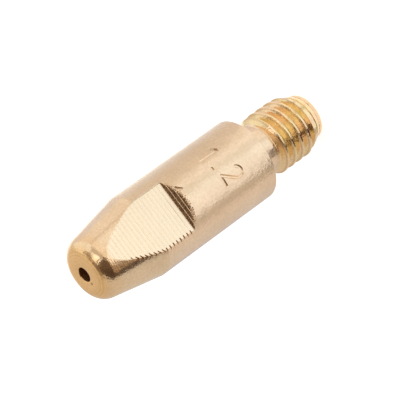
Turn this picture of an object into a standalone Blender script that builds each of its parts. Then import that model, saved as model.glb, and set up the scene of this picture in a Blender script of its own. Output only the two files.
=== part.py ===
"""A welding contact tip, turned, threaded and milled from one bar of copper alloy.

It stands on its threaded end: z = 0 is the end face, +Z runs up to the nose, and the bore is on the Z axis.
The two spanner flats face -Y and +Y. All sizes are in metres.
"""

import math

import bmesh
import bpy

# Body: the bar, its tapered nose and the shoulder that seats in the holder
LENGTH = 0.0280
BODY_RADIUS = 0.0040
TAPER_LENGTH = 0.00628
NOSE_FACE_RADIUS = 0.0016
NOSE_CORNER_RADIUS = 0.00145
SHOULDER_EDGE = 0.0002

# Screw end: the relief behind the shoulder, an M6 thread of 1 mm pitch and a plain pilot
SHANK_LENGTH = 0.0081
THREAD_RADIUS = 0.0030
THREAD_PITCH = 0.0010
THREAD_DEPTH = 0.00061
THREAD_FLANK = math.radians(30)
THREAD_START = 0.00006
RELIEF_RADIUS = 0.00235
RELIEF_LENGTH = 0.00155
PILOT_RADIUS = 0.00225
PILOT_LENGTH = 0.0005
PILOT_EDGE = 0.00025
LEAD_ANGLE = math.radians(25)

# Wire bore, with a funnel where the wire comes in
BORE_RADIUS = 0.0007
BORE_EDGE = 0.0001
FUNNEL_RADIUS = 0.0013
FUNNEL_DEPTH = 0.0009

# Spanner flats: milled across with a ridge at each pass, up to a leaning step with fine ledges
FLAT_COUNT = 2
FLAT_DISTANCE = 0.00305
FLAT_END = 0.0096
STEP_RUN = 0.00058
LEDGE_COUNT = 2
LEDGE_DEPTH = 0.00005
PASS_WIDTH = 0.000415
GROOVE_WIDTH = 0.00015
GROOVE_DEPTH = 0.00008

# How finely round shapes are divided, and how far a cutter reaches past what it cuts
ROUND_STEPS = 72
CORNER_STEPS = 8
CUTTER_REACH = 0.0005
THREAD_CUTTER_REACH = 0.00008
MERGE_DISTANCE = 0.000001

SHOULDER_Z = SHANK_LENGTH
STEP_FOOT_Z = LENGTH - FLAT_END


def clear_scene():
    for obj in list(bpy.data.objects):
        bpy.data.objects.remove(obj)


def new_collection(name):
    collection = bpy.data.collections.new(name)
    bpy.context.scene.collection.children.link(collection)
    return collection


def arc(centre, radius, start, end, steps):
    """Points (across, along) on a circle, from one angle to another, both ends included."""
    angles = [start + (end - start) * i / steps for i in range(steps + 1)]
    return [(centre[0] + radius * math.cos(a), centre[1] + radius * math.sin(a)) for a in angles]


def nose_outline():
    """The rounded nose corner, and the taper that leaves it without a kink."""
    centre = (NOSE_FACE_RADIUS, LENGTH - NOSE_CORNER_RADIUS)
    taper_end = (BODY_RADIUS, LENGTH - TAPER_LENGTH)
    across = taper_end[0] - centre[0]
    along = centre[1] - taper_end[1]
    slope = math.atan2(across, along) - math.asin(NOSE_CORNER_RADIUS / math.hypot(across, along))
    return arc(centre, NOSE_CORNER_RADIUS, math.pi / 2, slope, CORNER_STEPS) + [taper_end]


def shank_outline():
    """From the shoulder down: relief, thread blank with a lead cone at each end, and pilot."""
    relief_end = SHOULDER_Z - RELIEF_LENGTH
    thread_top = relief_end - (THREAD_RADIUS - RELIEF_RADIUS) / math.tan(LEAD_ANGLE)
    lead_top = PILOT_LENGTH + (THREAD_RADIUS - PILOT_RADIUS) / math.tan(LEAD_ANGLE)
    pilot_corner = (PILOT_RADIUS - PILOT_EDGE, PILOT_EDGE)
    return [
        (BODY_RADIUS, SHOULDER_Z + SHOULDER_EDGE),
        (BODY_RADIUS - SHOULDER_EDGE, SHOULDER_Z),
        (RELIEF_RADIUS, SHOULDER_Z),
        (RELIEF_RADIUS, relief_end),
        (THREAD_RADIUS, thread_top),
        (THREAD_RADIUS, lead_top),
        (PILOT_RADIUS, PILOT_LENGTH),
    ] + arc(pilot_corner, PILOT_EDGE, 0, -math.pi / 2, CORNER_STEPS // 2)


def bore_outline():
    """Up the inside: funnel, bore and the small edge break at the nose."""
    return [
        (FUNNEL_RADIUS, 0),
        (BORE_RADIUS, FUNNEL_DEPTH),
        (BORE_RADIUS, LENGTH - BORE_EDGE),
        (BORE_RADIUS + BORE_EDGE, LENGTH),
    ]


def turned_blank(collection):
    """The closed outline, spun about Z by a Screw modifier."""
    outline = nose_outline() + shank_outline() + bore_outline()
    count = len(outline)
    mesh = bpy.data.meshes.new("contact_tip")
    edges = [(i, (i + 1) % count) for i in range(count)]
    mesh.from_pydata([(r, 0, z) for r, z in outline], edges, [])
    obj = bpy.data.objects.new("contact_tip", mesh)
    collection.objects.link(obj)
    screw = obj.modifiers.new("turn", "SCREW")
    screw.steps = ROUND_STEPS
    screw.render_steps = ROUND_STEPS
    screw.use_merge_vertices = True
    screw.merge_threshold = MERGE_DISTANCE
    screw.use_smooth_shade = True
    return obj


def cutter_object(name, mesh, collection):
    obj = bpy.data.objects.new(name, mesh)
    collection.objects.link(obj)
    obj.display_type = "WIRE"
    obj.hide_render = True
    return obj


def thread_cutter(collection):
    """The V between two crests, swept up a right-hand helix from below the end face into the relief."""
    root = THREAD_RADIUS - THREAD_DEPTH
    rim = THREAD_RADIUS + THREAD_CUTTER_REACH
    crest_flat = THREAD_PITCH / 8
    rim_half = (THREAD_PITCH - crest_flat) / 2 + THREAD_CUTTER_REACH * math.tan(THREAD_FLANK)
    root_half = rim_half - (rim - root) * math.tan(THREAD_FLANK)
    start = THREAD_START - THREAD_PITCH
    end = SHOULDER_Z - rim_half - THREAD_CUTTER_REACH
    steps = int((end - start) / THREAD_PITCH * ROUND_STEPS)
    bm = bmesh.new()
    section = [(rim, -rim_half), (rim, rim_half), (root, root_half), (root, -root_half)]
    face = bm.faces.new([bm.verts.new((0, -r, start + z)) for r, z in section])
    bmesh.ops.spin(
        bm,
        geom=[*face.verts, *face.edges, face],
        cent=(0, 0, 0),
        axis=(0, 0, 1),
        dvec=(0, 0, THREAD_PITCH / ROUND_STEPS),
        angle=math.tau * steps / ROUND_STEPS,
        steps=steps,
    )
    bmesh.ops.recalc_face_normals(bm, faces=bm.faces)
    mesh = bpy.data.meshes.new("thread_cutter")
    bm.to_mesh(mesh)
    bm.free()
    cutter = cutter_object("thread_cutter", mesh, collection)
    half_facet = math.pi / ROUND_STEPS
    cutter.rotation_euler.z = half_facet
    cutter.location.z = THREAD_PITCH * half_facet / math.tau
    return cutter


def flat_outline():
    """What the mill takes away beside one flat, as (distance from the axis, height)."""
    top = LENGTH + CUTTER_REACH
    outer = BODY_RADIUS + CUTTER_REACH
    rise = BODY_RADIUS - FLAT_DISTANCE
    flights = LEDGE_COUNT + 1
    wall = []
    for i in range(flights + 1):
        distance = FLAT_DISTANCE + rise * i / flights
        height = STEP_FOOT_Z - (STEP_RUN - LEDGE_COUNT * LEDGE_DEPTH) * i / flights
        if i:
            wall.append((distance, height - LEDGE_DEPTH * (i - 1)))
        if i < flights:
            wall.append((distance, height - LEDGE_DEPTH * i))
    lean = wall[-1][1] - (wall[-2][1] - wall[-1][1]) / (wall[-1][0] - wall[-2][0]) * CUTTER_REACH
    outline = [*wall[:-1], (outer, lean), (outer, top), (FLAT_DISTANCE, top)]
    passes = int((LENGTH - STEP_FOOT_Z) / PASS_WIDTH)
    for i in range(passes, 0, -1):
        groove = STEP_FOOT_Z + PASS_WIDTH * i
        outline += [
            (FLAT_DISTANCE, groove + GROOVE_WIDTH / 2),
            (FLAT_DISTANCE - GROOVE_DEPTH, groove),
            (FLAT_DISTANCE, groove - GROOVE_WIDTH / 2),
        ]
    return outline


def flat_cutters(collection):
    """One milled shape for each flat, all with the same mesh."""
    half_width = BODY_RADIUS + CUTTER_REACH
    bm = bmesh.new()
    face = bm.faces.new([bm.verts.new((-half_width, -d, z)) for d, z in flat_outline()])
    swept = bmesh.ops.extrude_face_region(bm, geom=[face])["geom"]
    corners = [item for item in swept if isinstance(item, bmesh.types.BMVert)]
    bmesh.ops.translate(bm, verts=corners, vec=(2 * half_width, 0, 0))
    bmesh.ops.recalc_face_normals(bm, faces=bm.faces)
    mesh = bpy.data.meshes.new("flat_cutter")
    bm.to_mesh(mesh)
    bm.free()
    cutters = []
    for i in range(FLAT_COUNT):
        cutter = cutter_object(f"flat_cutter_{i + 1}", mesh, collection)
        cutter.rotation_euler.z = math.tau * i / FLAT_COUNT
        cutters.append(cutter)
    return cutters


def cut(obj, cutters):
    for cutter in cutters:
        boolean = obj.modifiers.new(cutter.name, "BOOLEAN")
        boolean.operation = "DIFFERENCE"
        boolean.solver = "EXACT"
        boolean.object = cutter


def copper_alloy():
    material = bpy.data.materials.new("copper_alloy")
    material.use_nodes = True
    shader = material.node_tree.nodes["Principled BSDF"]
    shader.inputs["Base Color"].default_value = (0.78, 0.50, 0.28, 1)
    shader.inputs["Metallic"].default_value = 1
    shader.inputs["Roughness"].default_value = 0.35
    return material


clear_scene()
parts = new_collection("welding_contact_tip")
cutters = new_collection("cutters")
tip = turned_blank(parts)
tip.data.materials.append(copper_alloy())
cut(tip, [thread_cutter(cutters), *flat_cutters(cutters)])
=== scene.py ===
# %% [markdown]
# # A welding contact tip
#
# A contact tip is the small copper alloy nozzle that guides the wire and carries the current in a
# welding torch. It is turned from bar on a lathe: a tapered nose, an 8 mm body, a relief and an M6
# thread. Two flats are then milled for the spanner, and the wire size is stamped into the body.
# The lesson makes it in the same order as the workshop: turn, cut the thread, mill, stamp, finish.

import math
import random

import bmesh
import bpy
from mathutils import Matrix, Vector


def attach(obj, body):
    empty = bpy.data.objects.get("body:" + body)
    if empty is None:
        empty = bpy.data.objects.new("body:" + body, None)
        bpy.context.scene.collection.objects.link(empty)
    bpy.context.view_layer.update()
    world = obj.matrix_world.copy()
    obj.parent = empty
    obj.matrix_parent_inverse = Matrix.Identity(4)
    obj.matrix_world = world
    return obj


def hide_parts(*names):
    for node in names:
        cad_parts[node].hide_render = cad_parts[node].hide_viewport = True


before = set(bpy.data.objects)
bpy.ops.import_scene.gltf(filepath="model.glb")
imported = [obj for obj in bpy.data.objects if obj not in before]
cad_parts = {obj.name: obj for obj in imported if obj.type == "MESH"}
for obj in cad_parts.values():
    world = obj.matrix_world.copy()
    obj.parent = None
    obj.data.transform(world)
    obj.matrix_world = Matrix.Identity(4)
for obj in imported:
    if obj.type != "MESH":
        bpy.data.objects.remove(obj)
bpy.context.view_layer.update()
MM = 0.001

# %% [markdown]
# ## The turned outline
#
# On a lathe every size is a diameter at a place along the bar, so one outline of (radius, height)
# points says it all. It could be drawn as a curve, but a list made from arcs and straight runs keeps
# each size in one place and lets the corners have as many points as a close view needs. The outline
# goes down the outside from the nose, round the threaded end, and back up through the wire bore.

# %% The sizes of the bar
# All sizes are in millimetres, and those across the axis are radii.
LENGTH, BODY = 28.0, 4.0
NOSE_FACE, NOSE_CORNER, TAPER_LENGTH = 1.6, 1.45, 6.28
TAPER_Z = LENGTH - TAPER_LENGTH
SHOULDER, SHOULDER_EDGE = 8.1, 0.14
RELIEF, RELIEF_CORNER, RELIEF_END = 2.35, 0.06, 6.22
THREAD, PITCH, LEAD_ANGLE = 3.0, 1.0, 25
PILOT, PILOT_EDGE, PILOT_TOP = 2.25, 0.25, 0.5
BORE, BORE_EDGE = 0.7, 0.1
FUNNEL, FUNNEL_DEPTH = 1.3, 0.9
print("bar", LENGTH, "mm long and", 2 * BODY, "mm across")


# %% The outline of the bar
def arc(centre, radius, start, end, steps):
    """Points on a part of a circle, both ends included, angles in degrees."""
    turn = [math.radians(start + (end - start) * i / steps) for i in range(steps + 1)]
    return [(centre[0] + radius * math.cos(a), centre[1] + radius * math.sin(a)) for a in turn]


def nose():
    """A wide corner that runs into the taper without a kink."""
    centre = (NOSE_FACE, LENGTH - NOSE_CORNER)
    across, along = BODY - NOSE_FACE, centre[1] - TAPER_Z
    lean = math.atan2(across, along) - math.asin(NOSE_CORNER / math.hypot(across, along))
    return arc(centre, NOSE_CORNER, 90, math.degrees(lean), 20) + [(BODY, TAPER_Z)]


def shank():
    """Shoulder, relief, the blank for the thread with a cone at each end, and the pilot."""
    lead = math.tan(math.radians(LEAD_ANGLE))
    inner_corner = (RELIEF + RELIEF_CORNER, SHOULDER - RELIEF_CORNER)
    return [
        *arc((BODY - SHOULDER_EDGE, SHOULDER + SHOULDER_EDGE), SHOULDER_EDGE, 0, -90, 6),
        *arc(inner_corner, RELIEF_CORNER, 90, 180, 4),
        (RELIEF, RELIEF_END),
        (THREAD, RELIEF_END - (THREAD - RELIEF)),
        (THREAD, PILOT_TOP + (THREAD - PILOT) / lead),
        (PILOT, PILOT_TOP),
        *arc((PILOT - PILOT_EDGE, PILOT_EDGE), PILOT_EDGE, 0, -90, 8),
    ]


def bore():
    """Funnel, bore and the broken edge at the nose."""
    edge = arc((BORE + BORE_EDGE, LENGTH - BORE_EDGE), BORE_EDGE, 180, 90, 5)
    return [(FUNNEL, 0), (BORE, FUNNEL_DEPTH), *edge]


outline = nose() + shank() + bore()
print(len(outline), "points, widest", max(r for r, z in outline), "mm")

# %% [markdown]
# ## Turning it
#
# `bmesh.ops.spin` carries the closed outline once round the axis, as the chuck does. A Screw modifier
# would do the same; spin is used because the thread's cutter below needs the same tool with a rise.

# %% Spinning the outline
TURN_STEPS = 240
MERGE_DISTANCE = 0.001


def piece(name, bm):
    """A new object from a bmesh measured in millimetres."""
    bmesh.ops.recalc_face_normals(bm, faces=bm.faces)
    bmesh.ops.scale(bm, verts=bm.verts, vec=(MM, MM, MM))
    mesh = bpy.data.meshes.new(name)
    bm.to_mesh(mesh)
    bm.free()
    obj = bpy.data.objects.new(name, mesh)
    bpy.context.scene.collection.objects.link(obj)
    return obj


def turned(name, points):
    """The closed outline, carried once round the axis."""
    bm = bmesh.new()
    ring = [bm.verts.new((r, 0, z)) for r, z in points]
    edges = [bm.edges.new((a, b)) for a, b in zip(ring, ring[1:] + ring[:1])]
    bmesh.ops.spin(bm, geom=ring + edges, axis=(0, 0, 1), angle=math.tau, steps=TURN_STEPS)
    bmesh.ops.remove_doubles(bm, verts=bm.verts, dist=MERGE_DISTANCE)
    return piece(name, bm)


tip = turned("contact_tip_turned", outline)
print(len(tip.data.polygons), "faces turned")

# %% [markdown]
# ## The thread
#
# An M6 thread rises 1 mm each turn, and its sides stand 60 degrees apart. It could be a texture, but
# its teeth show against the table. So the tool's shape is swept along the helix and cut away from the
# blank, and the thread runs out by itself in the cone at each end, as the real one does. Root and
# crest are rounded: the line of light on each crest shows it.

# %% The edge of the threading tool
THREAD_DEPTH, ROOT_ROUND, ROOT_STEPS = 0.60, 0.12, 3
FLANK = math.radians(30)
CREST_DROP = 0.03
# Past the crest the tool opens out: (beyond the thread's radius, along the axis).
CREST_OPENING = ((0.005, 0.03), (0.12, 0.06))


def thread_section():
    """The tool's edge, as (radius, height): a round root, two flanks and an opening at each crest."""
    centre = THREAD - THREAD_DEPTH + ROOT_ROUND
    turns = [(math.pi / 2 - FLANK) * i / ROOT_STEPS for i in range(ROOT_STEPS + 1)]
    half = [(centre - ROOT_ROUND * math.cos(a), ROOT_ROUND * math.sin(a)) for a in turns]
    crest = THREAD - CREST_DROP
    rise = half[-1][1] + (crest - half[-1][0]) * math.tan(FLANK)
    half.append((crest, rise))
    half += [(THREAD + out, rise + along) for out, along in CREST_OPENING]
    return half[::-1] + [(r, -z) for r, z in half[1:]]


print(len(thread_section()), "points on the edge of the threading tool")

# %% The threading tool
THREAD_STEPS = 180
# The helix starts most of a turn below the end face, and stops in the relief.
THREAD_START = 0.06 - PITCH
THREAD_END = SHOULDER - 0.75
HALF_FACET = 360 / TURN_STEPS / 2


def thread_tool():
    """The tool's edge, swept up a right-hand helix."""
    bm = bmesh.new()
    face = bm.faces.new([bm.verts.new((0, -r, THREAD_START + z)) for r, z in thread_section()])
    count = int((THREAD_END - THREAD_START) / PITCH * THREAD_STEPS)
    bmesh.ops.spin(
        bm,
        geom=[*face.verts, *face.edges, face],
        axis=(0, 0, 1),
        dvec=(0, 0, PITCH / THREAD_STEPS),
        angle=math.tau * count / THREAD_STEPS,
        steps=count,
    )
    return piece("thread_tool", bm)


# Screwed on by half a facet of the blank, so that no edge of the tool lies on an edge of the blank.
thread = thread_tool()
thread.rotation_euler.z = math.radians(HALF_FACET)
thread.location.z = PITCH * HALF_FACET / 360 * MM
print(len(thread.data.polygons), "faces on the threading tool")

# %% [markdown]
# ## The spanner flats
#
# A cutter passes across the tip every 0.415 mm and leaves a fine line at each pass, and a torn tooth
# where it leaves the metal at one edge. At the end of the flat it has run out up a short leaning wall
# with two ledges. One extruded side view would give the lines and the wall, but no teeth. So the side
# view is drawn again every 0.1 mm across the tip, and the tool is skinned from slice to slice.

# %% The sizes of the flats
FLAT, FOOT, PASS = 3.05, 18.4, 0.415
WALL_RUN, LEDGE, FLIGHTS = 0.58, 0.05, 3
# What the flights take of the run, without the ledges between them.
WALL_CLIMB = WALL_RUN - (FLIGHTS - 1) * LEDGE
# How much of the radius the taper loses for each millimetre of height.
TAPER_SLOPE = 0.1884
# How far the tool reaches past the bar, and how much further down its last flight is there.
MILL_REACH, MILL_FALL = 0.5, 0.26
SLICE = 0.1
print("flats", 2 * FLAT, "mm apart and", round(LENGTH - FOOT, 2), "mm long")

# %% Lines and teeth
LINE_HALF, LINE_DEEP = 0.05, 0.0085
# A tooth starts this far inside the edge of the flat: on the body, and on the taper.
TOOTH_INSIDE, TOOTH_INSIDE_TAPER = 0.26, 0.2
# It has grown to its full size this much further on. What it adds to its line is then:
TOOTH_GROWTH, TOOTH_HALF, TOOTH_DEEP = 0.1, 0.03, 0.145
# On the taper it slants down, over this length at most.
TOOTH_SLANT, SLANT_LENGTH = 0.6, 0.4
# There are no teeth above the first height, and they fade out over the second one.
TOOTH_TOP, TOOTH_FADE = 25.4, 0.6


def radius_at(z):
    """The outside of the body and taper at a height."""
    return BODY - max(0.0, z - TAPER_Z) * TAPER_SLOPE


def pass_line(x, z):
    """The groove of one pass, as (distance from the axis, height), at one place across the flat."""
    on_taper = z > TAPER_Z
    edge = math.sqrt(max(0.0, radius_at(z) ** 2 - FLAT**2))
    inside = TOOTH_INSIDE_TAPER if on_taper else TOOTH_INSIDE
    along_tooth = min(SLANT_LENGTH, max(0.0, -x - edge + inside))
    fade = min(1.0, max(0.0, (TOOTH_TOP - z) / TOOTH_FADE))
    tooth = min(1.0, along_tooth / TOOTH_GROWTH) * fade
    half, deep = LINE_HALF + TOOTH_HALF * tooth, LINE_DEEP + TOOTH_DEEP * tooth
    z -= TOOTH_SLANT * along_tooth * on_taper * fade
    return [(FLAT, z + half), (FLAT - deep, z), (FLAT, z - half)]


print("a line in the middle of the flat is", 2 * LINE_HALF, "mm wide and", LINE_DEEP, "mm deep")


# %% The milling tool
def wall():
    """Up the leaning wall, from the foot of the flat to outside the bar."""
    points = []
    for i in range(FLIGHTS + 1):
        distance = FLAT + (BODY - FLAT) * i / FLIGHTS
        height = FOOT - WALL_CLIMB * i / FLIGHTS
        if i:
            points.append((distance, height - LEDGE * (i - 1)))
        if i < FLIGHTS:
            points.append((distance, height - LEDGE * i))
    return [*points[:-1], (BODY + MILL_REACH, points[-1][1] - MILL_FALL)]


def milled_section(x):
    """The side view at one place across the flat: up the wall, past the nose and down the lines."""
    top = LENGTH + MILL_REACH
    points = [*wall(), (BODY + MILL_REACH, top), (FLAT, top)]
    for i in range(int((LENGTH - FOOT) / PASS), 0, -1):
        points += pass_line(x, FOOT + PASS * i)
    return points


def skin(bm, rings):
    """Faces from each closed ring of points to the next, and over both ends."""
    for one, two in zip(rings, rings[1:]):
        for k in range(len(one)):
            bm.faces.new((one[k - 1], one[k], two[k], two[k - 1]))
    bm.faces.new(rings[0])
    bm.faces.new(rings[-1][::-1])


def milling_tool():
    half_width = BODY + MILL_REACH
    places = [-half_width + i * SLICE for i in range(round(2 * half_width / SLICE) + 1)]
    bm = bmesh.new()
    skin(bm, [[bm.verts.new((x, -d, z)) for d, z in milled_section(x)] for x in places])
    return piece("milling_tool", bm)


front, back = milling_tool(), milling_tool()
back.rotation_euler.z = math.pi
print(len(front.data.polygons), "faces on the milling tool")

# %% [markdown]
# ## The stamped wire size
#
# The wire size is struck into the body with number punches, so each stroke is a shallow groove. Text
# could be wrapped round the body, but a font's strokes have flat ends and sharp walls. Here a thin rod
# is bent along each stroke on the round surface, and cut away with the rest. The size 1.2 is a plain
# number that fits the bore. The tops of its digits point to the thread.

# %% Rods along the body
ROD_SIDES = 8


def on_body(across, along, depth):
    """A place on the round body: across runs round it from the front, along is the height."""
    turn = across / BODY
    return Vector(((BODY - depth) * math.sin(turn), -(BODY - depth) * math.cos(turn), along))


def add_rod(bm, path, thick):
    """A closed rod through the path's points, for cutting a groove."""
    turns = [math.tau * (k + 0.5) / ROD_SIDES for k in range(ROD_SIDES)]
    rings = []
    for i, here in enumerate(path):
        ahead = (path[min(i + 1, len(path) - 1)] - path[max(i - 1, 0)]).normalized()
        out = Vector((here.x, here.y, 0)).normalized()
        side = ahead.cross(out).normalized()
        out = side.cross(ahead)
        spokes = [thick * (math.cos(a) * side + math.sin(a) * out) for a in turns]
        rings.append([bm.verts.new(here + spoke) for spoke in spokes])
    skin(bm, rings)


def rod(name, path, thick):
    bm = bmesh.new()
    add_rod(bm, path, thick)
    return piece(name, bm)


print("the front of the body is at", on_body(0.0, 14.0, 0.0))

# %% The number punches
STROKE_THICK, STROKE_LIFT = 0.175, 0.03
# The middle of each character: round the body from the front, and the height.
ONE, DOT, TWO = (2.15, 13.0), (0.85, 12.7), (-0.62, 12.5)


def stroke(name, points, middle):
    """A punched stroke: points are (right, up) in the character."""
    across, height = middle
    path = [on_body(across - x, height - y, -STROKE_LIFT) for x, y in points]
    return rod(name, path, STROKE_THICK)


stem = [(0.12, 1.12 - 0.32 * i) for i in range(8)]
flag = [(0.10, 1.08), (-0.08, 0.86), (-0.34, 0.66)]
dot = [(0.0, -0.95), (0.0, -1.1)]
bow = [(-0.52, 0.62)] + arc((0.0, 0.55), 0.52, 165, -20, 14)
slant = [(0.36, 0.14), (0.12, -0.2), (-0.2, -0.6), (-0.5, -1.0), (-0.56, -1.1)]
foot = [(-0.56, -1.1), (-0.2, -1.11), (0.2, -1.11), (0.54, -1.1)]
characters = [
    stroke("punch_1_stem", stem, ONE),
    stroke("punch_1_flag", flag, ONE),
    stroke("punch_dot", dot, DOT),
    stroke("punch_2_hook", bow + slant, TWO),
    stroke("punch_2_foot", foot, TWO),
]
print(len(characters), "strokes")

# %% [markdown]
# ## Small damage
#
# A knock beside the flat, and tears along the upper edge of each wall where the cutter left the bar.
# They could be painted, but even so small a groove breaks the edge and catches the light, so they are
# cut by the same rods. The tears come from seeded random numbers: the same ones on every run.

# %% A knock and the tears
KNOCK_THICK = 0.14
NICKS, NICK_FROM, NICK_GAP, NICK_SWAY = 24, -2.3, 0.2, 0.03
NICK_ABOVE, NICK_BELOW, NICK_THICK = 0.16, (0.05, 0.24), (0.055, 0.08)
# Both ends of a tear: the one at the wall is under the surface, the other just above it.
NICK_IN, NICK_OUT, NICK_LEAN = 0.10, -0.01, 0.03


def nicks(seed):
    """Small tears all along the upper edge of both walls."""
    rough = random.Random(seed)
    bm = bmesh.new()
    for half_turn in (0.0, math.pi * BODY):
        for i in range(NICKS):
            across = NICK_FROM + NICK_GAP * i + rough.uniform(-NICK_SWAY, NICK_SWAY)
            share = (BODY * math.cos(across / BODY) - FLAT) / (BODY - FLAT)
            edge = FOOT - WALL_CLIMB * share - LEDGE * int(share * FLIGHTS)
            across += half_turn
            end = edge - rough.uniform(*NICK_BELOW)
            inner = on_body(across, edge + NICK_ABOVE, NICK_IN)
            outer = on_body(across + NICK_LEAN, end, NICK_OUT)
            add_rod(bm, [inner, outer], rough.uniform(*NICK_THICK))
    return piece("nicks", bm)


knock_path = [on_body(1.58, 17.95, -0.08), on_body(1.25, 17.66, 0.05), on_body(0.93, 17.37, -0.08)]
knock, tears = rod("knock", knock_path, KNOCK_THICK), nicks(3)
print(2 * NICKS, "tears,", len(tears.data.polygons), "faces")

# %% [markdown]
# ## Cutting
#
# Each tool is taken away with an exact Boolean. The Booleans could stay as modifiers, but the crisp
# edges are marked on finished faces, so the result is kept as plain mesh. Faces that meet at more than
# a few degrees keep a crisp edge; the rest share a normal, weighted by area so that the thin slivers a
# Boolean leaves behind don't disturb the large smooth faces beside them.

# %% Cutting and smoothing
CRISP_ANGLE = 9


def cut(obj, tools):
    for tool in tools:
        boolean = obj.modifiers.new(tool.name, "BOOLEAN")
        boolean.operation = "DIFFERENCE"
        boolean.solver = "EXACT"
        boolean.object = tool
    ready = obj.evaluated_get(bpy.context.evaluated_depsgraph_get())
    mesh = bpy.data.meshes.new_from_object(ready)
    obj.modifiers.clear()
    obj.data = mesh
    for tool in tools:
        bpy.data.objects.remove(tool)


def smooth(obj, degrees):
    for face in obj.data.polygons:
        face.use_smooth = True
    obj.data.set_sharp_from_angle(angle=math.radians(degrees))
    weigh = obj.modifiers.new("weigh", "WEIGHTED_NORMAL")
    weigh.keep_sharp = True
    weigh.weight = 100


cut(tip, [thread, front, back, *characters, knock, tears])
smooth(tip, CRISP_ANGLE)
tip.name = "contact_tip_body"
print(sum(len(p.vertices) - 2 for p in tip.data.polygons), "triangles")

# %% [markdown]
# ## Shader maths
#
# Masks are sums, and sums are easier to read than a picture of nodes. `Socket` wraps one output so
# that `1 - mask * 2` adds the Math nodes itself. Colours would turn grey in a Math node, so they go
# through `mixed`, which adds a Mix node.


# %% Expressions on sockets
class Socket:
    """One output of a node. New nodes go into the tree that was set last."""

    tree = None

    def __init__(self, link):
        self.link = link

    @classmethod
    def node(cls, kind, out=0, settings=None, **inputs):
        """Any node: its type, its settings first, then its inputs by name, or by number as i0 and i1."""
        made = cls.tree.nodes.new(kind)
        for key, value in (settings or {}).items():
            setattr(made, key, value)
        for key, value in inputs.items():
            name = int(key[1:]) if key[1:].isdigit() else key.replace("_", " ")
            if isinstance(value, Socket):
                cls.tree.links.new(value.link, made.inputs[name])
            else:
                made.inputs[name].default_value = value
        return Socket(made.outputs[out])

    def maths(self, operation, *others):
        inputs = {f"i{n + 1}": other for n, other in enumerate(others)}
        return Socket.node("ShaderNodeMath", 0, {"operation": operation}, i0=self, **inputs)

    def __add__(self, other):
        return self.maths("ADD", other)

    def __sub__(self, other):
        return self.maths("SUBTRACT", other)

    def __mul__(self, other):
        return self.maths("MULTIPLY", other)

    def __rsub__(self, other):
        return self * -1 + other

    def smoothly(self, low, high):
        """0 below low, 1 above high, with a soft rise between."""
        settings = {"interpolation_type": "SMOOTHSTEP"}
        return Socket.node("ShaderNodeMapRange", 0, settings, Value=self, i1=low, i2=high)

    def rises(self, low, high):
        """The same for a length, with low and high in millimetres."""
        return self.smoothly(low * MM, high * MM)

    __radd__, __rmul__ = __add__, __mul__


def mixed(share, first, second, blend="MIX"):
    """A colour between two colours, or the first one shaded by the second."""
    first, second = (c if isinstance(c, Socket) else (*c, 1) for c in (first, second))
    settings = {"data_type": "RGBA", "blend_type": blend}
    return Socket.node("ShaderNodeMix", 2, settings, i0=share, i6=first, i7=second)


print("sockets add, subtract and multiply")

# %% [markdown]
# ## Copper alloy: where each tool has been
#
# The whole tip is one alloy, but each tool leaves its own finish. The body is satin, because the tip
# has been tumbled, the nose and thread are brighter, and the flats mirror the light between their
# lines. The zones could be painted, but here they come from the height, the distance from the axis
# and the way a face looks. So they follow the shape by themselves, and nothing has to be unwrapped.

# %% Places on the metal
alloy = bpy.data.materials.new("copper_alloy")
alloy.use_nodes = True
Socket.tree = alloy.node_tree
place = Socket.node("ShaderNodeTexCoord", 3)
facing = Socket(place.link.node.outputs["Normal"])
upward = Socket.node("ShaderNodeSeparateXYZ", 2, None, Vector=facing)
split = Socket.node("ShaderNodeSeparateXYZ", 0, None, Vector=place).link.node
x, y, z = (Socket(split.outputs[i]) for i in range(3))
level_place = Socket.node("ShaderNodeCombineXYZ", 0, None, X=x, Y=y)
reach = Socket.node("ShaderNodeVectorMath", 1, {"operation": "LENGTH"}, i0=level_place)
outside = BODY * MM - (z - TAPER_Z * MM).maths("MAXIMUM", 0.0) * TAPER_SLOPE
print("places: height, distance from the axis, and the outside of the bar")

# %% Zones of the turned shape
pilot_shade = 1 - z.rises(PILOT_TOP, PILOT_TOP + 0.1)
on_thread = 1 - z.rises(RELIEF_END - 0.32, RELIEF_END - 0.02)
on_shank = 1 - z.rises(SHOULDER - 0.1, SHOULDER)
on_taper = z.rises(TAPER_Z - 0.22, TAPER_Z + 0.78)
on_corner = z.rises(LENGTH - 2.0, LENGTH - 1.2)
on_face = z.rises(LENGTH - 0.7, LENGTH - 0.05)
in_bore = 1 - reach.rises(BORE + 0.005, BORE + 0.035)
under_crest = 1 - reach.rises(THREAD - 0.08, THREAD - 0.04)
crest_flank_shade = on_thread * reach.rises(THREAD - 0.24, THREAD - 0.14) * under_crest
print("zones: pilot, thread, shank, taper, corner, face, bore and the sides of the crests")

# %% Zones of the flats
inside = (outside - reach).rises(0.02, 0.05)
milled = inside * z.rises(FOOT, FOOT + 0.03) * (1 - z.rises(LENGTH - 1.6, LENGTH - 1.4))
on_flat = milled * y.maths("ABSOLUTE").rises(FLAT - 0.03, FLAT - 0.015)
tooth_shade = milled - on_flat
below_foot = 1 - z.rises(FOOT - 0.02, FOOT)
wall_shade = inside * z.rises(FOOT - 0.8, FOOT - 0.7) * below_foot * upward.smoothly(0.3, 0.6)
pass_line_shade = ((z - FOOT * MM) * (math.tau / (PASS * MM))).maths("COSINE").smoothly(-0.6, 1.0)
from_join = (z - TAPER_Z * MM).maths("ABSOLUTE")
on_join = (1 - from_join.rises(0.02, 0.09)) * (1 - milled)
print("zones: flats, teeth, walls, lines and the join of the taper")

# %% A stain on the nose
STAIN = (-1.0, -0.17, LENGTH)
stain_place = tuple(v * MM for v in STAIN)
from_stain = Socket.node("ShaderNodeVectorMath", 1, {"operation": "DISTANCE"}, i0=place, i1=stain_place)
on_stain = 1 - from_stain.rises(0.08, 0.2)
print("stain at", STAIN)

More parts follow.
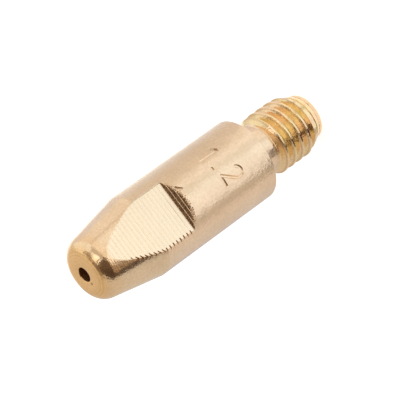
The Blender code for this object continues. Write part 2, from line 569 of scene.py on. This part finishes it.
# %% [markdown]
# ## Copper alloy: grain and tool marks
#
# Tumbling leaves a fine grain, drawn out a little along the bar, and faint waves under it. The lathe
# leaves rings round the bar, and circles on the nose face. Scratches could be a picture, but noise
# has no end and no seam, and noise along a single line gives rings that are as sharp as a tool's.


# %% Textures
def noise(scale, detail, where):
    return Socket.node("ShaderNodeTexNoise", 0, None, Vector=where, Scale=scale, Detail=detail)


def tool_marks(along):
    """Noise that changes along one length only."""
    settings = {"noise_dimensions": "1D"}
    return Socket.node("ShaderNodeTexNoise", 0, settings, W=along * 7000.0, Scale=1.0, Detail=3.0)


def clearly(texture):
    """The middle values of a noise, spread out from 0 to 1."""
    return texture.smoothly(0.3, 0.7)


drawn_out = Socket.node("ShaderNodeMapping", 0, None, Vector=place, Scale=(1, 1, 0.12))
grain = noise(4500.0, 4.0, place)
waves = noise(900.0, 3.0, place)
cloud = noise(420.0, 4.0, place)
streaks = noise(6000.0, 2.0, drawn_out)
rings = tool_marks(z)
circles = tool_marks(reach)
mottle = clearly(grain) * 0.6 + clearly(cloud) * 0.4 + (clearly(circles) - 0.5) * on_face * 0.8
print("textures: grain, waves, cloud, streaks, rings and circles")

# %% [markdown]
# ## Copper alloy: colour and finish
#
# A metal has no colour of its own beside what it mirrors, so the tint is the share of red, green and
# blue that it gives back. One tint could do for one alloy, but each tool's work has a tint of its own:
# the flats are pale gold. The walls, the torn teeth, the bore, the pilot and the upper flanks of the
# thread are darker and browner, and that is painted shade. Tints are mixed in zone by zone, and the
# thin shades that follow multiply what is there; the one along the milled lines is painted shade too.

# %% Colour
thread_tint = mixed(cloud.smoothly(0.4, 0.6), (1.0, 0.74, 0.445), (1.0, 0.785, 0.425))
colour = mixed(on_thread, (1.0, 0.79, 0.55), thread_tint)
tints = [
    # painted shade on the upper flanks of the thread, beside each crest
    (crest_flank_shade * 0.5, (0.64, 0.40, 0.23)),
    # painted shade: the pilot at the end of the thread is darkened
    (pilot_shade, (0.89, 0.65, 0.405)),
    (on_corner, (1.0, 0.745, 0.475)),
    (on_face, (0.99, 0.65, 0.31)),
    (on_flat, (0.96, 0.80, 0.585)),
    # painted shade on the up-facing slopes of the walls at the end of the flats
    (wall_shade, (0.33, 0.20, 0.11)),
    # painted shade in the deep torn teeth along the edges of the flats
    (tooth_shade, (0.66, 0.43, 0.25)),
    (on_stain, (0.50, 0.27, 0.12)),
    # painted shade: the wire bore is darkened as a deep hole would look
    (in_bore, (0.45, 0.25, 0.12)),
]
shades = [
    (mottle * (1 - on_flat * 0.7), (0.85, 0.835, 0.81)),
    # painted shade along each milled line on the flats
    (pass_line_shade * on_flat, (0.955, 0.92, 0.865)),
    (on_join * 0.7 + on_taper * (1 - milled) * 0.3, (0.97, 0.92, 0.84)),
]
for share, tint in tints:
    colour = mixed(share, colour, tint)
for share, shade in shades:
    colour = mixed(share, colour, shade, "MULTIPLY")
print(len(tints), "tints and", len(shades), "shades")

# %% Finish
GRAIN_DEPTH = 0.012
gloss = 0.09 * on_taper * (1 - on_flat)
rough = 0.25 - gloss - 0.05 * on_flat - 0.14 * on_thread + cloud * 0.06 + in_bore * 0.3
tumbled = 1 - on_flat * 0.8 - on_taper * (1 - on_flat) * 0.45
turning = rings * (0.2 + on_shank * 0.6 + on_taper * 0.2) + circles * on_face * 0.8
height = turning + (grain * 2.4 + streaks * 0.9 + waves * 4.0) * tumbled
relief = Socket.node("ShaderNodeBump", 0, None, Strength=1.0, Distance=GRAIN_DEPTH * MM, Height=height)
shader = alloy.node_tree.nodes["Principled BSDF"]
shader.inputs["Metallic"].default_value = 1.0
for name, value in (("Base Color", colour), ("Roughness", rough), ("Normal", relief)):
    alloy.node_tree.links.new(value.link, shader.inputs[name])
print(len(alloy.node_tree.nodes), "nodes in the metal")

# %% The finished tip
tip.data.materials.clear()
tip.data.materials.append(alloy)
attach(tip, "root")
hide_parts("contact_tip")
print(tip.name, "is ready")

# %% [markdown]
# ## The table and the air
#
# The tip stands on a white table in a white room. Lamps strong enough to make the table pure white
# would also burn out the metal, so the table is a plain pale grey that glows only for rays that come
# straight from the camera, from a mirror or through glass. It still keeps the shadow of the tip.


# %% The table
def seen_directly():
    """1 for rays from the camera, from a mirror or through glass."""
    path = Socket.node("ShaderNodeLightPath").link.node
    names = ("Is Camera Ray", "Is Glossy Ray", "Is Transmission Ray")
    camera_ray, glossy_ray, through_ray = (Socket(path.outputs[name]) for name in names)
    return camera_ray.maths("MAXIMUM", glossy_ray).maths("MAXIMUM", through_ray)


def emptied(material):
    """A material with nothing but its output, ready for nodes of its own."""
    material.use_nodes = True
    Socket.tree = material.node_tree
    Socket.tree.nodes.remove(Socket.tree.nodes["Principled BSDF"])
    return material


def show(shader):
    output = Socket.tree.nodes["Material Output"]
    Socket.tree.links.new(shader.link, output.inputs["Surface"])


white_table = emptied(bpy.data.materials.new("white_table"))
matt = Socket.node("ShaderNodeBsdfDiffuse", 0, None, Color=(0.8, 0.8, 0.8, 1))
lift = Socket.node("ShaderNodeEmission", 0, None, Color=(1, 1, 1, 1), Strength=seen_directly() * 0.6)
show(Socket.node("ShaderNodeAddShader", 0, None, i0=matt, i1=lift))

TABLE_RADIUS, TABLE_SIDES = 3000, 96
bm = bmesh.new()
bmesh.ops.create_circle(bm, cap_ends=True, radius=TABLE_RADIUS, segments=TABLE_SIDES)
table = piece("table", bm)
table.data.materials.append(white_table)
print("table ready")

# %% The air
world = bpy.data.worlds.new("white_room")
bpy.context.scene.world = world
world.use_nodes = True
Socket.tree = world.node_tree
strength = seen_directly() * 0.3 + 0.7
background = world.node_tree.nodes["Background"]
background.inputs["Color"].default_value = (1, 1, 1, 1)
world.node_tree.links.new(strength.link, background.inputs["Strength"])
print("air ready")

# %% [markdown]
# ## The room in the metal
#
# A polished tip shows the room more than itself, so the room is what gets designed: a bright window, a
# dark doorway beside it, pale walls and a table with light and shade on it. Lamps would light the
# table as well. So each part of the room is a bent card that glows evenly and is seen only in
# reflections. What lies below the level of the tip's middle is laid on the table. The corners are
# directions from the tip's middle, because the direction is what a curved mirror shows.


# %% Cards
def towards(azimuth, elevation):
    """A direction from angles in degrees. Azimuth 0 is the front, and 90 is the right."""
    a, e = math.radians(azimuth), math.radians(elevation)
    return Vector((math.sin(a) * math.cos(e), -math.cos(a) * math.cos(e), math.sin(e)))


CARD_CENTRE, CARD_REACH, CARD_STEPS = 14.2, 150.0, 16


def card_point(azimuth, elevation, above_table):
    """A place on the card's round wall, or on the table where the wall would be below it."""
    out_to = CARD_REACH
    if elevation < 0:
        out_to = min(out_to, (CARD_CENTRE - above_table) / -math.sin(math.radians(elevation)))
    return Vector((0, 0, CARD_CENTRE)) + towards(azimuth, elevation) * out_to


def card(name, corners, colour, above_table):
    """A bent card between four (azimuth, elevation) corners, from low left round to high left."""
    left_low, right_low, right_high, left_high = (Vector(c) for c in corners)
    shares = [i / CARD_STEPS for i in range(CARD_STEPS + 1)]
    columns = [(left_low.lerp(right_low, s), left_high.lerp(right_high, s)) for s in shares]
    bm = bmesh.new()
    rows = []
    for share in shares:
        places = [card_point(*low.lerp(high, share), above_table) for low, high in columns]
        rows.append([bm.verts.new(spot) for spot in places])
    for below, above in zip(rows, rows[1:]):
        for i in range(CARD_STEPS):
            bm.faces.new((below[i], below[i + 1], above[i + 1], above[i]))
    obj = piece(name, bm)
    obj.data.materials.append(emptied(bpy.data.materials.new(name)))
    show(Socket.node("ShaderNodeEmission", 0, None, Color=(*colour, 1), Strength=1.0))
    obj.visible_camera = obj.visible_diffuse = obj.visible_shadow = obj.visible_transmission = False


def straight(azimuths, elevations):
    """Four corners between two azimuths and two elevations."""
    (left, right), (low, high) = azimuths, elevations
    return (left, low), (right, low), (right, high), (left, high)


print("cards are bent at", CARD_REACH, "mm")

# %% The room
# Each card: its corners, then its colour as the metal mirrors it.
cards = {
    "left_low": (((-180, -16), (-68, -16), (-74, 30), (-180, 30)), (0.66, 0.615, 0.57)),
    "left_high": (straight((-180, -74), (30, 66)), (0.65, 0.61, 0.57)),
    "left_rim": (straight((-180, -130), (66, 79)), (0.58, 0.53, 0.48)),
    "left_top": (straight((-130, -74), (66, 79)), (0.30, 0.25, 0.21)),
    "opening_low": (((-68, -16), (-54, -12.3), (-54, 30), (-74, 30)), (0.08, 0.05, 0.035)),
    "opening_middle": (((-54, 2), (-34, 4), (-34, 30), (-54, 30)), (0.08, 0.05, 0.035)),
    "opening_foot": (((-54, -12.3), (-34, -7), (-34, 4), (-54, 2)), (0.36, 0.25, 0.16)),
    "opening_edge": (((-34, -7), (2, 8), (2, 14.3), (-34, 4)), (0.40, 0.27, 0.17)),
    "opening_high": (straight((-74, -34), (30, 79)), (0.09, 0.06, 0.04)),
    "opening_near": (((-34, 4), (8, 16), (8, 79), (-34, 79)), (0.13, 0.085, 0.055)),
    "window_bar": (((8, 15), (56, 15), (66, 49), (8, 33)), (0.60, 0.54, 0.48)),
    "window": (((8, 33), (48, 43), (54, 72), (8, 72)), (1.4, 1.38, 1.34)),
    "right_dark": (((66, 49), (112, 56), (128, 79), (52, 75)), (0.36, 0.30, 0.25)),
    "right_back": (straight((130, 180), (10, 79)), (0.74, 0.70, 0.66)),
    "right_rim": (straight((113, 145), (-20, 10)), (0.80, 0.77, 0.82)),
    "low_edge": (straight((6, 22), (-16, 15)), (0.87, 0.79, 0.68)),
    "low_bright": (straight((22, 62), (-16, 15)), (0.98, 0.93, 0.88)),
    "low_shade": (straight((62, 67), (-16, 10)), (0.90, 0.83, 0.77)),
    "low_line": (straight((67, 72), (-16, 10)), (0.64, 0.54, 0.44)),
    "low_right": (straight((72, 113), (-16, 10)), (0.91, 0.84, 0.78)),
    "top": (straight((-180, 180), (79, 90)), (0.20, 0.15, 0.12)),
    "table_far": (straight((-175, -145), (-80, -16)), (0.61, 0.59, 0.67)),
    "table_left": (straight((-145, -100), (-80, -16)), (0.69, 0.65, 0.65)),
    "table_near": (straight((-100, -67), (-80, -16)), (0.75, 0.68, 0.65)),
    "table_line": (straight((-67, -46), (-80, -16)), (0.50, 0.44, 0.38)),
    "table_glow_left": (straight((-46, -12), (-80, -16)), (0.98, 0.96, 0.99)),
    "table_glow": (straight((-12, 14), (-80, -16)), (1.04, 1.09, 1.15)),
    "table_dip": (straight((14, 25), (-80, -16)), (0.74, 0.70, 0.65)),
    "table_glow_right": (straight((25, 46), (-80, -16)), (1.05, 1.03, 1.05)),
    "table_right": (straight((46, 74), (-80, -16)), (0.77, 0.69, 0.63)),
    "table_right_far": (straight((74, 112), (-80, -16)), (0.71, 0.645, 0.60)),
    "table_right_rim": (straight((112, 138), (-80, -16)), (0.77, 0.77, 0.84)),
}
# These lie over the others near the foot of the tip, for the thread alone.
near_cards = {
    # the dark foot card is a painted shadow: the tip's own shadow on the table, as the thread mirrors it
    "foot": (straight((-59, -31), (-73, -44)), (0.07, 0.035, 0.03)),
    "foot_right": (straight((50, 70), (-80, -44)), (1.12, 1.08, 1.05)),
    "foot_rim": (straight((70, 120), (-80, -44)), (0.86, 0.77, 0.83)),
}
for above_table, group in ((0.2, cards), (0.4, near_cards)):
    for name, (corners, tint) in group.items():
        card("card_" + name, corners, tint, above_table)
print(len(cards) + len(near_cards), "cards")

# %% [markdown]
# ## A lamp
#
# The cards light only what is mirrored. One soft lamp from the right gives the table the faint shadow
# that puts the tip on it. A sun would draw a hard shadow, so it is a wide disc, and the metal doesn't
# mirror it.

# %% A soft lamp
LAMP_AZIMUTH, LAMP_ELEVATION, LAMP_DISTANCE = 40, 55, 0.5
LAMP_WIDTH, LAMP_POWER, LAMP_AIM = 0.3, 0.4, 0.014
out = towards(LAMP_AZIMUTH, LAMP_ELEVATION)
light = bpy.data.lights.new("softbox_right", "AREA")
light.shape = "DISK"
light.size = LAMP_WIDTH
light.energy = LAMP_POWER
lamp = bpy.data.objects.new("softbox_right", light)
lamp.location = Vector((0, 0, LAMP_AIM)) + out * LAMP_DISTANCE
lamp.rotation_euler = out.to_track_quat("Z", "Y").to_euler()
lamp.visible_glossy = False
bpy.context.scene.collection.objects.link(lamp)
print("lamp", LAMP_DISTANCE, "m away")

# %% [markdown]
# ## The camera
#
# The picture is taken from 200 mm away with a long lens, 31 degrees above the table, and the camera
# is rolled so that the tip seems to lie on a slant with its nose to the lower left. The camera could
# be turned by eye, but three angles say exactly how it stands.

# %% Camera
AZIMUTH, ELEVATION, ROLL = -1.976, 31.22, 35.762
DISTANCE, AIM = 200.0, 14.0
SENSOR = 36.0
NEAREST, FURTHEST = 0.01, 20.0
# In pixels of the square picture: its side, the length of the lens and the middle of the view.
PICTURE, FOCAL, CENTRE_X, CENTRE_Y = 400, 2267.7, 198.355, 192.696


def camera():
    a, r = math.radians(AZIMUTH), math.radians(ROLL)
    out = towards(AZIMUTH, ELEVATION)
    across = Vector((math.cos(a), math.sin(a), 0))
    down = -out.cross(across)
    right = math.cos(r) * down - math.sin(r) * across
    up = math.sin(r) * down + math.cos(r) * across
    data = bpy.data.cameras.new("camera")
    data.sensor_width = SENSOR
    data.lens = FOCAL / PICTURE * SENSOR
    data.shift_x = (PICTURE / 2 - CENTRE_X) / PICTURE
    data.shift_y = (CENTRE_Y - PICTURE / 2) / PICTURE
    data.clip_start = NEAREST
    data.clip_end = FURTHEST
    obj = bpy.data.objects.new("camera", data)
    stand = Matrix.Translation((Vector((0, 0, AIM)) + out * DISTANCE) * MM)
    obj.matrix_world = stand @ Matrix((right, up, out)).transposed().to_4x4()
    bpy.context.scene.collection.objects.link(obj)
    return obj


bpy.context.scene.camera = camera()
bpy.context.scene.view_settings.view_transform = "Standard"
print("lens", round(bpy.context.scene.camera.data.lens, 2), "mm")
